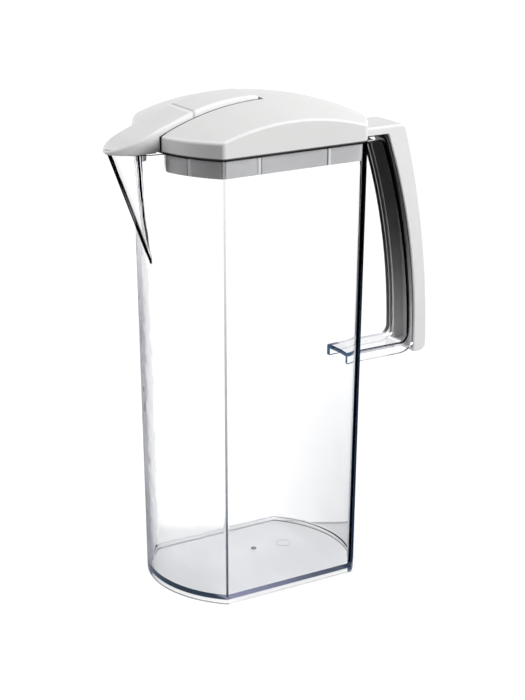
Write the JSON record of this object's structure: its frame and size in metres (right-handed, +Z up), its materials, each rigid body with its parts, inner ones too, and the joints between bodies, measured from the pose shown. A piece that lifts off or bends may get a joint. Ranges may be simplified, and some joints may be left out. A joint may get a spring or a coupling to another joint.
{
  "type": "plastic pitcher",
  "caption": "Clear narrow pitcher with flat sides and bowed ends, a pointed pouring spout, a white covered handle and a domed lift-off lid with a rocking spout flap.",
  "frame": {"origin": "centre of the base, on the surface that the pitcher stands on", "axes": "+Z up, +X towards the handle, -X towards the spout, +Y across the narrow width"},
  "size_m": [0.2001, 0.094, 0.2738],
  "materials": {
    "clear_plastic": "clear, polished",
    "white_plastic": "smooth satin",
    "grey_plastic": "satin"
  },
  "bodies": {
    "jug": {"jug": "clear_plastic", "handle_cover": "white_plastic"},
    "lid": {"lid_shell": "white_plastic", "lid_insert": "grey_plastic"},
    "flap": {"spout_flap": "white_plastic"}
  },
  "joints": [
    {"name": "lid_lift", "type": "slide", "parent": "jug", "child": "lid", "axis": [0, 0, 1], "range_m": [0, 0.06]},
    {"name": "flap_hinge", "type": "hinge", "parent": "lid", "child": "flap", "pos_m": [-0.042, 0, 0.26061], "axis": [0, 1, 0], "range_deg": [0, 8]}
  ]
}
